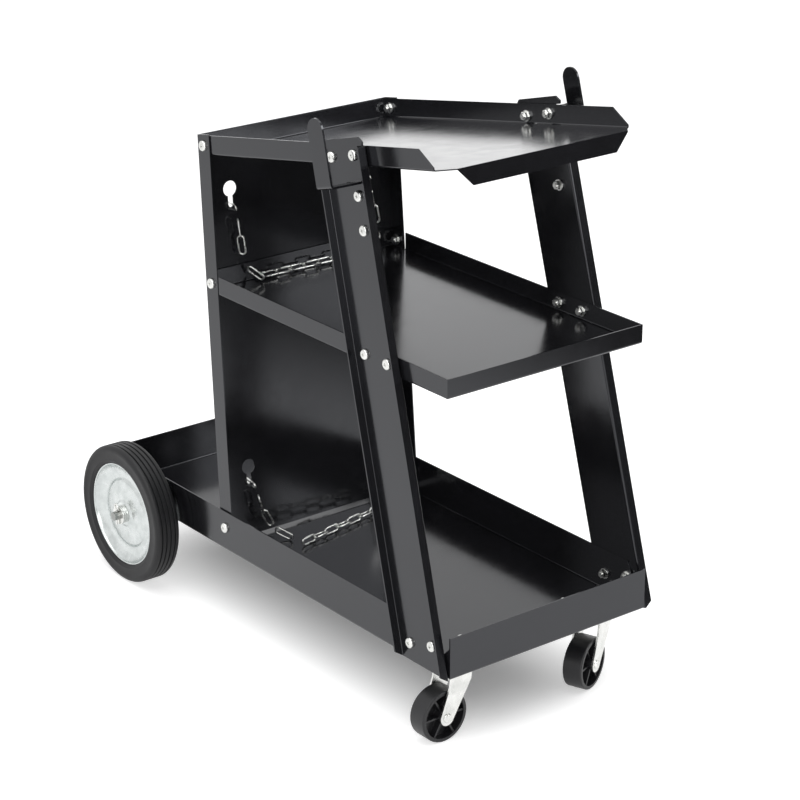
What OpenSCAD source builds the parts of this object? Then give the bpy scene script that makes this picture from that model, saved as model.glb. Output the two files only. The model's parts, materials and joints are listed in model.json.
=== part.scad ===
// Three-shelf steel trolley on two rear wheels and two front swivel casters.
// Millimetres. +X is the caster end, +Y the left side, +Z up.
// The origin is on the floor, in the middle of the trolley's length and width.

/* [Sheet steel] */
// Thickness of the folded sheet of the tray, the shelves and the back panel
sheet_t = 1.5; // [1:0.1:2]
// Thickness of the sheet of the two legs
leg_t = 2; // [1.5:0.1:3]
// Outside radius of the folds
bend_r = 3.2; // [3.1:0.1:5]
// Clearance between sheets that are bolted together
sheet_fit = 0.2; // [0.1:0.05:0.4]

/* [Base tray] */
// Length of the base tray
tray_l = 736; // [700:1:800]
// Outside width of the base tray
tray_w = 308; // [290:1:340]
// Height of the tray's walls
tray_h = 54; // [48:1:65]
// Depth of the vee notch in the side wall behind each front corner
notch_h = 28; // [15:1:32]
// Width of the vee notch at the wall's top edge
notch_w = 28; // [20:1:32]

/* [Middle shelf] */
// Set-back of the shelf's front from the tray's front
mid_back = 15; // [5:1:40]
// Height of the shelf's underside above the tray's underside
mid_up = 345; // [300:1:380]
// Height of the shelf's four upstands
mid_h = 24.5; // [20:0.5:35]
// Gap between the side upstands and the back panel's flanges
mid_gap = 4; // [2:0.5:8]

/* [Top shelf] */
// Set-back of the front end of the side flanges from the tray's front
top_back = 46; // [30:1:80]
// Height of the shelf's underside there, above the tray's underside
top_up = 602.5; // [560:0.5:640]
// Outside width of the top shelf
top_w = 290; // [280:1:300]
// Rise of the shelf towards the front, in degrees
top_slope = 10.4; // [5:0.1:14]
// Height of the side flanges and the rear upstand
top_h = 25; // [20:0.5:35]
// Length of floor in front of the side flanges
nose_l = 19; // [10:1:30]
// Sideways cut of the floor's two front corners
nose_cut = 19; // [10:1:30]
// Depth of the lip that is folded down at the front
lip_h = 22; // [15:1:30]
// Sideways taper of the lip at each end
lip_taper = 20; // [10:1:40]
// Cut of the side flanges' front ends
flange_cut = 24; // [10:1:28]

/* [Back panel] */
// Set-back of the panel's foot from the tray's front
panel_back = 471; // [440:1:500]
// Backward lean of the panel, in degrees
panel_lean = 4.1; // [0:0.1:6]
// Gap under the panel's lower edge
panel_gap = 4; // [2:0.5:8]
// Depth of the panel's two side flanges
panel_flange = 25; // [22:0.5:32]
// Height of the panel's lowest bolts above the tray's underside
tie_up = 31.5; // [24:0.5:40]
// Distance between the left and right keyholes
key_span = 210; // [180:1:230]
// Height of the upper keyholes along the panel
key_high = 464; // [440:1:480]
// Height of the lower keyholes along the panel
key_low = 94; // [80:1:140]
// Diameter of a keyhole's round part
key_d = 20; // [16:0.5:24]
// Width of a keyhole's slot
key_slot = 7.5; // [6:0.5:10]
// Distance from the round part's centre to the slot's lower end
key_drop = 24; // [22:0.5:32]

/* [Legs] */
// Width of a leg's web
leg_w = 84; // [76:1:90]
// Depth of the leg's flanges
leg_flange = 12.5; // [10:0.5:18]
// Set-back of the leg's centre line at the tray's underside
leg_back = 43; // [42:1:60]
// Backward lean of the legs, in degrees
leg_lean = 15.5; // [10:0.1:16]
// Distance between the two bolts of a pair
bolt_gap = 42; // [36:1:46]
// Height of the leg's lower pair of bolts along the leg
tray_bolt_up = 29; // [22:1:34]
// Length of leg above the upper pair of bolts
leg_over = 9; // [8:0.5:12]
// Distance of the two spare bolts forward of the leg's centre line
spare_off = 16; // [10:1:20]
// Distance of the upper spare bolt below the upper pair
spare_drop = 47; // [44:1:60]
// Distance between the two spare bolts
spare_gap = 40; // [30:1:50]

/* [Cable hooks] */
// Thickness of the hook's plate
hook_t = 2.5; // [2:0.5:4]
// Width of the hook's plate
hook_w = 60; // [58:1:64]
// Height of the hook's plate
hook_h = 53; // [48:1:60]
// Distance from the upper pair of bolts down to the plate's lower edge
hook_drop = 33; // [28:1:36]
// Width of the strap and the tongue
tongue_w = 28; // [20:1:29]
// Height of the tongue
tongue_h = 82; // [60:1:100]
// Distance from the leg to the tongue's outer face
hook_reach = 48; // [30:1:60]

/* [Rear wheels] */
// Outside diameter of the tyre
wheel_d = 190; // [176:1:204]
// Width of the tyre
tyre_w = 36; // [30:1:40]
// Diameter of the rim that the tyre sits on
rim_d = 142; // [120:1:150]
// Width of the rim
rim_w = 29; // [24:1:30]
// Thickness of the rim's pressed steel
rim_t = 2; // [1.5:0.1:3]
// Gap between the tyre and the tray's side
wheel_gap = 6; // [4:0.5:10]
// Set-back of the axle from the tray's front
axle_back = 653; // [620:1:670]
// Diameter of the axle
axle_d = 12; // [10:0.5:13]
// Gap between the axle and the tray's underside
axle_gap = 0.5; // [0.3:0.1:4]
// Outside diameter of the hub tube
hub_d = 24; // [21:0.5:28]
// Outside diameter of the plain bush in the hub
bush_d = 18; // [16:0.5:19]
// Radial running clearance of every turning fit
run_fit = 0.05; // [0.03:0.01:0.09]
// Thickness of the axle washers
washer_t = 2; // [1.5:0.1:3]
// Outside diameter of the axle washers
washer_d = 26; // [22:0.5:30]
// Wire diameter of the split pins
pin_d = 2.5; // [2:0.1:3.2]

/* [Casters] */
// Set-back of the swivel axis from the tray's front
caster_back = 46; // [44:1:60]
// Distance of the swivel axis in from the tray's side
caster_in = 42; // [41:1:60]
// Diameter of the caster wheel
caster_d = 67; // [60:1:70]
// Width of the caster wheel
caster_w = 26; // [20:0.5:28]
// Trail of the wheel behind the swivel axis
caster_trail = 22; // [15:0.5:24]
// Thickness of the fork and of the top plate
fork_t = 2.5; // [2:0.1:3.5]
// Gap between the wheel and the fork on each side
fork_gap = 2; // [1:0.1:3]
// Length of the top plate, along the trolley's width
plate_l = 76; // [70:1:80]
// Width of the top plate, along the trolley's length
plate_w = 60; // [56:1:64]
// Height of the ball race between the plate and the fork
race_h = 10; // [7:0.5:12]
// Diameter of the ball race
race_d = 46; // [40:0.5:50]
// Diameter of the king pin
king_d = 10; // [8:0.5:12]
// Diameter of the caster wheel's axle
pivot_d = 8; // [6:0.5:9]
// Number of spokes of the caster wheel
spoke_n = 6; // [4:1:8]
// Direction of the right caster as the trolley stands, in degrees
right_turn = 90; // [0:1:180]
// Direction of the left caster as the trolley stands, in degrees
left_turn = 111; // [0:1:180]

/* [Fasteners] */
// Diameter of the bolts
bolt_d = 6; // [5:0.5:6.5]
// Clearance of a bolt in its hole, across the diameter
bolt_fit = 0.6; // [0.4:0.1:1]
// Diameter of a bolt's domed head
head_d = 13.5; // [12:0.5:15]
// Height of a bolt's domed head
head_h = 4; // [3:0.1:5]
// Width of a nut across its flats
nut_af = 10; // [9:0.5:11]
// Height of a nut
nut_h = 5; // [4:0.5:6]
// Diameter of the washer under a nut
nut_washer_d = 14; // [12:0.5:16]
// Thickness of the washer under a nut
nut_washer_t = 1.4; // [1:0.1:2]

/* [Chains] */
// Diameter of the links' wire
wire_d = 2.6; // [2:0.1:3]
// Inside length of a link
link_p = 22; // [20:0.5:26]
// Outside width of a link
link_w = 11; // [10:0.5:12]
// Slack between two links
link_slack = 0.4; // [0.2:0.1:0.6]
// Links that hang behind the panel from keyhole to keyhole
slack_links = 12; // [11:1:13]

/* [Hidden] */
$fn = 64;
paint = "#2b2b2e";
zinc = "#b9bcb9";
rubber = "#3a3a3c";
plastic = "#26262a";
steel = "#9a9c9c";

// Heights and lengths that follow from the wheels and the tray
axle_z = wheel_d/2;
tray_z = axle_z + axle_d/2 + axle_gap;
over_l = max(tray_l, axle_back + wheel_d/2);
front_x = over_l/2;
tray_top = tray_z + tray_h;
floor_z = tray_z + sheet_t;
mid_z = tray_z + mid_up;
mid_top = mid_z + mid_h;
mid_floor = mid_z + sheet_t;
top_z = tray_z + top_up;
hole_d = bolt_d + bolt_fit;

// The panel leans back from its foot. Its sides draw in to the top shelf.
panel_x = front_x - panel_back;
panel_z = floor_z + panel_gap;
panel_foot = tray_w/2 - sheet_t - sheet_fit;
panel_head = top_w/2 + sheet_t + sheet_fit;
function on_panel(p) = [
    panel_x + p.x*cos(panel_lean) - p.z*sin(panel_lean),
    p.y,
    panel_z + p.x*sin(panel_lean) + p.z*cos(panel_lean)];
// A point at a height on the panel's rear face
function panel_rear(z) = panel_x - (z - panel_z)*tan(panel_lean);
function panel_front(z) = panel_rear(z) + sheet_t/cos(panel_lean);
// The shelf's rear upstand, square to its sloping floor, reaches back to the panel
top_x = front_x - top_back;
function shelf_z(x) = top_z + (x - top_x)*tan(top_slope);
top_rear_h = top_h*cos(top_slope);
top_l = (top_x - sheet_fit - panel_front(top_z + top_rear_h) - top_h*sin(top_slope))
    / (cos(top_slope) + sin(top_slope)*tan(panel_lean));
function on_top(p) = [
    top_x + p.x*cos(top_slope) - p.z*sin(top_slope),
    p.y,
    top_z + p.x*sin(top_slope) + p.z*cos(top_slope)];
panel_l = (on_top([-top_l, 0, top_h]).z - panel_z)/cos(panel_lean) + 1;
panel_taper = atan((panel_foot - panel_head)/panel_l);
function panel_y(z) = panel_foot - (z - panel_z)*tan(panel_taper);
panel_bolt_x = panel_flange/2;

// The legs lean back, and in towards the top shelf
leg_x = front_x - leg_back;
function on_leg(b, a) = [
    leg_x - a*sin(leg_lean) + b*cos(leg_lean),
    tray_z + a*cos(leg_lean) + b*sin(leg_lean)];
leg_bolt_up = (top_z + top_h/2*cos(top_slope) + (leg_x - top_x)*tan(top_slope) - tray_z)
    / (cos(leg_lean) + sin(leg_lean)*tan(top_slope));
leg_l = leg_bolt_up + leg_over;
leg_top_z = shelf_z(on_leg(leg_w/2, leg_bolt_up).x) + top_h;
leg_splay = atan((tray_w - top_w)/2/(leg_top_z - tray_top));
function leg_y(z) = tray_w/2 + sheet_fit - (z - tray_top)*tan(leg_splay);
mid_w = 2*(leg_y(mid_top) - sheet_fit);
mid_x = front_x - mid_back;
mid_rear = panel_front(mid_z) + sheet_fit;
mid_side = panel_rear(mid_top) + panel_flange/cos(panel_lean) + mid_gap;
tab_w = 2*(panel_y(mid_top) - sheet_t - sheet_fit);
tab_end = panel_rear(mid_z) + panel_flange - 2;

// Bolt places, as set-along and height, with the outer and the inner seat
top_pair = [for (b = [-1, 1]) on_leg(b*bolt_gap/2, leg_bolt_up)];
spare_pair = [for (k = [0, 1]) on_leg(spare_off, leg_bolt_up - spare_drop - k*spare_gap)];
mid_bolt_z = mid_z + mid_h/2;
mid_bolt_x = leg_x - (mid_bolt_z - tray_z)*tan(leg_lean);
mid_pair = [for (b = [-1, 1]) [mid_bolt_x + b*bolt_gap/2, mid_bolt_z]];
tray_pair = [for (b = [-1, 1]) on_leg(b*bolt_gap/2, tray_bolt_up)];
top_tie_x = panel_rear(on_top([-top_l, 0, top_h/2]).z) + panel_bolt_x;
top_tie = [top_tie_x, 0, shelf_z(top_tie_x) + top_h/2/cos(top_slope)];
mid_tie = [panel_rear(mid_bolt_z) + panel_bolt_x, 0, mid_bolt_z];
tray_tie = [panel_rear(tray_z + tie_up) + panel_bolt_x, 0, tray_z + tie_up];
seat_gap = 0.1;
head_seat = leg_t/cos(leg_splay) + seat_gap;

// Wheels and casters
wheel_y = tray_w/2 + wheel_gap + tyre_w/2;
hub_half = tyre_w/2 - 1;
axle_x = front_x - axle_back;
washer_gap = 0.3;
pin_y = wheel_y + hub_half + washer_gap + washer_t + pin_d;
axle_l = 2*(pin_y + pin_d + 3);
saddle_w = 26;
saddle_t = 2.5;
saddle_y = tray_w/2 - 34;
saddle_hole = axle_d/2 + saddle_t + 12;
saddle_l = 2*(saddle_hole + 9);
caster_x = front_x - caster_back;
caster_y = tray_w/2 - caster_in;
plate_hole_l = plate_l - 16;
plate_hole_w = plate_w - 16;
pivot_z = caster_d/2;
fork_top = tray_z - fork_t - race_h;
fork_half = caster_w/2 + fork_gap;
race_gap = 0.3;

// Chain joints. The walk steps along a route in hand-picked round numbers.
link_s = link_p - link_slack;
key_link = key_drop - link_w/2 - 0.3;
key_y = key_span/2;
wire_lie = link_w/2 + 0.3;
high_x = panel_front(mid_floor);
low_x = panel_front(floor_z);
high_lie = mid_floor + wire_lie;
low_lie = floor_z + wire_lie;
high_near = [[high_x + 7, 7 - key_y, high_lie + 30], [high_x + 9, 12 - key_y, high_lie + 12],
    [high_x + 15, 17 - key_y, high_lie], [high_x + 49, 43 - key_y, high_lie]];
high_far = [[high_x + 7, key_y + 8, high_lie + 40], [high_x + 9, key_y + 14, high_lie + 12],
    [high_x + 14, key_y + 8, high_lie], [high_x + 11, key_y - 45, high_lie],
    [high_x + 10, key_y - 225, high_lie]];
low_near = [[low_x + 13, 8 - key_y, low_lie + 34], [low_x + 17, 17 - key_y, low_lie + 14],
    [low_x + 24, 23 - key_y, low_lie], [low_x + 58, 43 - key_y, low_lie]];
low_far = [[low_x + 13, key_y + 7, low_lie + 34], [low_x + 17, key_y + 11, low_lie + 14],
    [low_x + 26, key_y + 1, low_lie], [low_x + 40, key_y - 45, low_lie],
    [low_x + 62, key_y - 165, low_lie], [low_x + 78, key_y - 225, low_lie]];

// Outline of a folded sheet seen from its end: a block with round lower corners
module round_foot(w, h, r) {
    translate([-w/2 + r, 0]) square([w - 2*r, h]);
    translate([-w/2, r]) square([w, h - r]);
    for (s = [-1, 1]) translate([s*(w/2 - r), r]) circle(r);
}

// A block with its four lower edges round
module round_block(l, w, h, r) {
    intersection() {
        rotate([90, 0, 0]) linear_extrude(w, center = true) round_foot(l, h, r);
        rotate([90, 0, 90]) linear_extrude(l, center = true) round_foot(w, h, r);
    }
}

// A tray folded from one sheet, standing on z = 0, centred
module open_tray(l, w, h) {
    difference() {
        round_block(l, w, h, bend_r);
        translate([0, 0, sheet_t]) round_block(l - 2*sheet_t, w - 2*sheet_t, h, bend_r - sheet_t);
    }
}

// Holes along Y through both sides at once
module side_holes(places, d = hole_d) {
    for (p = places) translate([p[0], 0, p[len(p) - 1]])
        rotate([90, 0, 0]) cylinder(d = d, h = 2*tray_w, center = true);
}

module on_side(s) {
    if (s > 0) children();
    else mirror([0, 1, 0]) children();
}

// Vee notch behind a front corner, with the slit where the corner tab laps the side wall
module corner_notch() {
    top = tray_h + 1;
    low = tray_h - notch_h;
    rear = front_x - sheet_t - 0.5 - notch_w;
    tip = front_x - sheet_t - 0.5 - notch_w/2;
    tab = front_x - sheet_t - 0.5;
    translate([0, tray_w/2 - sheet_t/2, tray_z]) rotate([90, 0, 0])
        linear_extrude(2*sheet_t, center = true)
            polygon([[rear, top], [rear, tray_h - 2], [tip - 0.5, low + 2], [tip - 3, low - 8],
                [tip - 2, low - 8], [tip + 0.5, low], [tab, tray_h - notch_h/2], [tab, top]]);
}

module base_tray() {
    color(paint) difference() {
        translate([front_x - tray_l/2, 0, tray_z]) open_tray(tray_l, tray_w, tray_h);
        for (s = [-1, 1]) on_side(s) corner_notch();
        side_holes(tray_pair);
        side_holes([tray_tie]);
        caster_hole_places() down_hole();
        saddle_hole_places() down_hole();
    }
}

module down_hole() {
    cylinder(d = hole_d, h = 20, center = true);
}

// The main part between the legs, and the narrower rear part inside the panel's flanges
module middle_shelf() {
    main_l = mid_x - mid_side;
    all_l = mid_x - mid_rear;
    color(paint) difference() {
        union() {
            intersection() {
                translate([mid_x - all_l/2, 0, mid_z]) open_tray(all_l, mid_w, mid_h);
                translate([mid_side, -mid_w, mid_z - 1]) cube([main_l + 1, 2*mid_w, mid_h + 2]);
            }
            intersection() {
                translate([mid_x - all_l/2, 0, mid_z]) open_tray(all_l, tab_w, mid_h);
                union() {
                    translate([mid_rear - 1, -mid_w, mid_z - 1])
                        cube([tab_end - mid_rear + 1, 2*mid_w, mid_h + 2]);
                    translate([mid_rear - 1, -tab_w/2 + bend_r, mid_z - 1])
                        cube([main_l/2, tab_w - 2*bend_r, bend_r]);
                }
            }
        }
        side_holes(mid_pair);
        side_holes([mid_tie]);
    }
}

module top_shelf() {
    half = top_w/2;
    nose = half - nose_cut;
    color(paint) difference() {
        translate([top_x, 0, top_z]) rotate([0, -top_slope, 0]) {
            difference() {
                intersection() {
                    translate([-top_l/2 + bend_r, 0, 0]) open_tray(top_l + 2*bend_r, top_w, top_h);
                    translate([-top_l - 1, -half - 1, -1]) cube([top_l + 1, top_w + 2, top_h + 2]);
                }
                for (s = [-1, 1]) on_side(s) translate([0, half, 0]) rotate([90, 0, 0])
                    linear_extrude(4*bend_r, center = true)
                        polygon([[1, sheet_t + bend_r], [1, top_h + 1], [-flange_cut - 1, top_h + 1],
                            [-flange_cut, top_h], [0, sheet_t + bend_r]]);
            }
            linear_extrude(sheet_t) polygon([[-2*bend_r, -half + bend_r], [0, -half + bend_r],
                [nose_l, -nose], [nose_l, nose], [0, half - bend_r], [-2*bend_r, half - bend_r]]);
            translate([nose_l - sheet_t, 0, sheet_t]) rotate([90, 0, 90]) linear_extrude(sheet_t)
                polygon([[-nose, 0], [-nose, -sheet_t], [-nose + lip_taper, -lip_h],
                    [nose - lip_taper, -lip_h], [nose, -sheet_t], [nose, 0]]);
        }
        side_holes(top_pair);
        side_holes([top_tie]);
    }
}

module keyhole() {
    cylinder(d = key_d, h = 20, center = true);
    translate([0, -(key_drop - key_slot/2)/2, 0])
        cube([key_slot, key_drop - key_slot/2, 20], center = true);
    translate([0, -(key_drop - key_slot/2), 0]) cylinder(d = key_slot, h = 20, center = true);
}

module back_panel() {
    blank_l = panel_l + 5;
    blank_head = panel_foot - blank_l*tan(panel_taper);
    color(paint) difference() {
        translate([panel_x, 0, panel_z]) rotate([0, -panel_lean, 0]) difference() {
            union() {
                rotate([90, 0, 90]) linear_extrude(sheet_t) polygon([[-panel_foot, 0], [panel_foot, 0],
                    [blank_head, blank_l], [-blank_head, blank_l]]);
                for (s = [-1, 1]) on_side(s) rotate([90, 0, 90]) linear_extrude(panel_flange)
                    polygon([[panel_foot - sheet_t, 0], [panel_foot, 0],
                        [blank_head, blank_l], [blank_head - sheet_t, blank_l]]);
            }
            translate([0, 0, panel_l]) rotate([0, panel_lean - top_slope, 0])
                translate([-20, -tray_w, 0]) cube([80, 2*tray_w, 40]);
        }
        for (s = [-1, 1], h = [key_low, key_high])
            translate(on_panel([0, s*key_y, h])) rotate([0, -panel_lean, 0]) rotate([90, 0, 90]) keyhole();
        side_holes([top_tie, mid_tie, tray_tie]);
    }
}

// The leg's own frame: its web's inner face lies on y = 0, z runs up the leg
module in_leg() {
    translate([leg_x, leg_y(tray_z), tray_z]) rotate([leg_splay, 0, 0]) rotate([0, -leg_lean, 0]) children();
}

module leg(s) {
    run_out = leg_w/2*tan(leg_lean) + 5;
    end_y = leg_y(tray_z) + leg_t;
    color(paint) on_side(s) difference() {
        in_leg() translate([0, 0, -run_out]) linear_extrude(leg_l + run_out) difference() {
            round_foot(leg_w, leg_flange, bend_r);
            translate([0, leg_t]) round_foot(leg_w - 2*leg_t, leg_flange, bend_r - leg_t);
        }
        translate([leg_x - leg_w, 0, tray_z - 60]) cube([2*leg_w, tray_w, 60]);
        translate([leg_x, 0, tray_z]) rotate([90, 0, 90]) linear_extrude(3*leg_w, center = true)
            polygon([[end_y, 0], [end_y + 2*leg_flange, -1], [end_y + 2*leg_flange, 1.3*leg_flange]]);
        side_holes(tray_pair);
        side_holes(mid_pair);
        side_holes(spare_pair);
        side_holes(top_pair);
    }
}

module leg_right() { leg(-1); }
module leg_left() { leg(1); }

// A plate bolted on the leg, a strap out from its lower edge and a tongue up from that
module cable_hook(s) {
    ear = leg_over + 1;
    up = leg_bolt_up - hook_drop;
    tip = hook_w/2 + 10;
    fold_r = 2*hook_t;
    strap_b = hook_w/2 - tongue_w/2 - 1;
    shoulder = hook_drop + ear;
    color(paint) on_side(s) difference() {
        in_leg() translate([0, leg_t, up]) {
            translate([0, hook_t, 0]) rotate([90, 0, 0]) linear_extrude(hook_t)
                polygon([[-hook_w/2, 0], [strap_b - tongue_w/2, 0], [strap_b - tongue_w/2, fold_r],
                    [hook_w/2, fold_r], [hook_w/2, shoulder], [tip - 1, shoulder], [tip, shoulder + 4],
                    [tip - 7, hook_h], [-tip + 4, hook_h], [-tip, hook_h - 4], [-tip + 1, shoulder],
                    [-hook_w/2, shoulder]]);
            intersection() {
                translate([strap_b, hook_reach/2 - leg_t/2, 0]) rotate([90, 0, 90])
                    linear_extrude(tongue_w, center = true) difference() {
                        round_foot(hook_reach - leg_t, tongue_h, fold_r);
                        translate([0, hook_t])
                            round_foot(hook_reach - leg_t - 2*hook_t, tongue_h, fold_r - hook_t);
                        translate([-hook_reach, 2*fold_r]) square([hook_reach, tongue_h]);
                    }
                translate([strap_b, 0, 0]) rotate([90, 0, 0]) linear_extrude(3*hook_reach, center = true) {
                    translate([-tongue_w/2, -1]) square([tongue_w, tongue_h - tongue_w/2 + 1]);
                    translate([0, tongue_h - tongue_w/2]) circle(d = tongue_w);
                }
            }
        }
        side_holes(top_pair);
    }
}

module cable_hook_right() { cable_hook(-1); }
module cable_hook_left() { cable_hook(1); }

module rear_axle() {
    color(steel) difference() {
        translate([axle_x, 0, axle_z]) rotate([90, 0, 0]) cylinder(d = axle_d, h = axle_l, center = true);
        for (s = [-1, 1]) translate([axle_x, s*pin_y, axle_z])
            cylinder(d = pin_d, h = 2*axle_d, center = true);
    }
}

// Strap under the axle, with an ear before and behind it bolted to the tray
module axle_saddle(s) {
    ear_z = tray_z - axle_z;
    color(zinc) difference() {
        translate([axle_x, s*saddle_y, axle_z]) rotate([90, 0, 0])
            linear_extrude(saddle_w, center = true) difference() {
                union() {
                    circle(axle_d/2 + saddle_t);
                    translate([-axle_d/2 - saddle_t, 0]) square([axle_d + 2*saddle_t, ear_z]);
                    translate([-saddle_l/2, ear_z - saddle_t]) square([saddle_l, saddle_t]);
                }
                circle(axle_d/2);
                translate([-axle_d/2, 0]) square([axle_d, ear_z + 1]);
                translate([-saddle_l/2, ear_z]) square([saddle_l, axle_d]);
            }
        saddle_hole_places() down_hole();
    }
}

module axle_saddle_right() { axle_saddle(-1); }
module axle_saddle_left() { axle_saddle(1); }

module saddle_hole_places() {
    for (s = [-1, 1], e = [-1, 1])
        translate([axle_x + e*saddle_hole, s*saddle_y, tray_z]) children();
}

module ring(d_out, d_in, h) {
    difference() {
        cylinder(d = d_out, h = h, center = true);
        cylinder(d = d_in, h = 3*h, center = true);
    }
}

module on_axle(y) {
    translate([axle_x, y, axle_z]) rotate([90, 0, 0]) children();
}

module axle_washers() {
    off = hub_half + washer_gap + washer_t/2;
    color(zinc) for (s = [-1, 1], e = [-1, 1]) on_axle(s*(wheel_y + e*off)) ring(washer_d, axle_d, washer_t);
}

// Split pin: a straight leg through the axle with an eye above it
module split_pins() {
    eye = 2*pin_d;
    color(zinc) for (s = [-1, 1]) translate([axle_x, s*pin_y, axle_z]) {
        translate([0, 0, -axle_d/2 - 7]) cylinder(d = pin_d, h = axle_d + 10);
        translate([0, 0, axle_d/2 + 3 + eye - pin_d/2]) rotate([90, 0, 0])
            rotate_extrude() translate([eye - pin_d/2, 0]) circle(d = pin_d);
    }
}

// Solid tyre with round shoulders and three grooves round the tread
module tyre(s) {
    r_out = wheel_d/2;
    r_in = rim_d/2;
    shoulder = 6;
    groove = 2.2;
    color(rubber) on_axle(s*wheel_y) rotate_extrude() difference() {
        union() {
            translate([r_in, -tyre_w/2 + 2]) square([r_out - r_in - 3*shoulder, tyre_w - 4]);
            translate([r_in + 3, -tyre_w/2]) square([r_out - r_in - 3 - shoulder, tyre_w]);
            translate([r_in, -tyre_w/2 + shoulder]) square([r_out - r_in, tyre_w - 2*shoulder]);
            for (e = [-1, 1]) translate([r_out - shoulder, e*(tyre_w/2 - shoulder)]) circle(shoulder);
        }
        for (k = [-1:1]) translate([r_out - groove, k*6.5 - groove/2]) square([2*groove, groove]);
    }
}

module tyre_right() { tyre(-1); }
module tyre_left() { tyre(1); }

// Pressed rim: a barrel under the tyre with a rolled edge each side, and two dished discs to the hub
module rim(s) {
    r = rim_d/2;
    half = rim_w/2;
    edge = 1.4;
    color(zinc) on_axle(s*wheel_y) rotate_extrude() {
        translate([r - rim_t, -half]) square([rim_t, rim_w]);
        for (e = [-1, 1]) translate([r - rim_t - edge, e*(half - edge/2) - edge/2]) square([edge, edge]);
        for (e = [-1, 1]) dish_outline(r, half, e);
    }
}

// One pressed half of the wheel disc: flat at the hub, falling inwards, then a cone out to the barrel
module dish_outline(r, half, e) {
    deep = 4;
    hub_out = half - 6;
    outer = [[hub_d/2, hub_out], [hub_d/2 + 5, hub_out], [r*0.66, deep], [r*0.74, deep],
        [r - rim_t, half - 3]];
    inner = [for (k = [len(outer) - 1:-1:0]) [outer[k][0], outer[k][1] - (k < 2 ? rim_t : rim_t*1.15)]];
    polygon([for (p = concat(outer, inner)) [p[0], e*p[1]]]);
}

module rim_right() { rim(-1); }
module rim_left() { rim(1); }

module hub_tube(s) {
    color(zinc) on_axle(s*wheel_y) ring(hub_d, bush_d, 2*hub_half - 1);
}

module hub_tube_right() { hub_tube(-1); }
module hub_tube_left() { hub_tube(1); }

// Plastic bush with a flange at each end of the hub tube
module hub_bush(s) {
    color("#3c3c40") on_axle(s*wheel_y) difference() {
        union() {
            cylinder(d = bush_d, h = 2*hub_half, center = true);
            for (e = [-1, 1]) translate([0, 0, e*(hub_half - 0.25)])
                cylinder(d = hub_d - 1, h = 0.5, center = true);
        }
        cylinder(r = axle_d/2 + run_fit, h = 3*hub_half, center = true);
    }
}

module hub_bush_right() { hub_bush(-1); }
module hub_bush_left() { hub_bush(1); }

module at_caster(s) {
    translate([caster_x, s*caster_y, 0]) children();
}

// The swivelling half, turned to the way it stands
module on_swivel(s) {
    at_caster(s) rotate([0, 0, s < 0 ? right_turn : left_turn]) children();
}

module plate_hole_places() {
    for (a = [-1, 1], b = [-1, 1]) translate([a*plate_hole_w/2, b*plate_hole_l/2, tray_z]) children();
}

module caster_hole_places() {
    for (s = [-1, 1]) at_caster(s) plate_hole_places() children();
}

module caster_plate(s) {
    corner = 6;
    color(zinc) at_caster(s) difference() {
        translate([0, 0, tray_z - fork_t]) linear_extrude(fork_t) {
            square([plate_w - 2*corner, plate_l], center = true);
            square([plate_w, plate_l - 2*corner], center = true);
            for (a = [-1, 1], b = [-1, 1])
                translate([a*(plate_w/2 - corner), b*(plate_l/2 - corner)]) circle(corner);
        }
        translate([0, 0, tray_z]) cylinder(d = king_d, h = 20, center = true);
        plate_hole_places() down_hole();
    }
}

module caster_plate_right() { caster_plate(-1); }
module caster_plate_left() { caster_plate(1); }

// King pin: a rivet from the plate down through the race and the fork, with a head under the fork
module king_pin(s) {
    head = 3;
    low = fork_top - fork_t - race_gap;
    color(zinc) at_caster(s) {
        translate([0, 0, low]) cylinder(d = king_d, h = tray_z - low);
        translate([0, 0, low - head]) cylinder(d = king_d + 6, h = head);
    }
}

module king_pin_right() { king_pin(-1); }
module king_pin_left() { king_pin(1); }

// Pressed ball race under the plate: a round cup with a flared skirt
module ball_race(s) {
    step = race_h/2;
    color(zinc) at_caster(s) difference() {
        union() {
            translate([0, 0, fork_top + race_gap + step])
                cylinder(d1 = race_d, d2 = race_d - 6, h = race_h - race_gap - step);
            translate([0, 0, fork_top + race_gap]) cylinder(d = race_d, h = step);
        }
        translate([0, 0, fork_top]) cylinder(d = king_d, h = 2*race_h);
    }
}

module ball_race_right() { ball_race(-1); }
module ball_race_left() { ball_race(1); }

// Fork: a round crown and two cheeks that taper back and down to the wheel's axle
module caster_fork(s) {
    crown_r = race_d/2 + 1;
    foot_r = pivot_d/2 + 6;
    color(zinc) on_swivel(s) difference() {
        union() {
            translate([0, 0, fork_top - fork_t]) intersection() {
                cylinder(r = crown_r, h = fork_t);
                cube([3*crown_r, 2*(fork_half + fork_t), 3*fork_t], center = true);
            }
            for (e = [-1, 1]) translate([0, e*(fork_half + fork_t/2), 0]) rotate([90, 0, 0])
                linear_extrude(fork_t, center = true) {
                    polygon([[-16, fork_top], [16, fork_top], [14, fork_top - 14],
                        [-caster_trail + foot_r*0.93, pivot_z - foot_r*0.36],
                        [-caster_trail - foot_r*0.96, pivot_z + foot_r*0.28], [-18, fork_top - 16]]);
                    translate([-caster_trail, pivot_z]) circle(foot_r);
                }
        }
        translate([0, 0, fork_top]) cylinder(r = king_d/2 + run_fit, h = 20, center = true);
        translate([-caster_trail, 0, pivot_z]) rotate([90, 0, 0])
            cylinder(d = pivot_d, h = 60, center = true);
    }
}

module caster_fork_right() { caster_fork(-1); }
module caster_fork_left() { caster_fork(1); }

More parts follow.
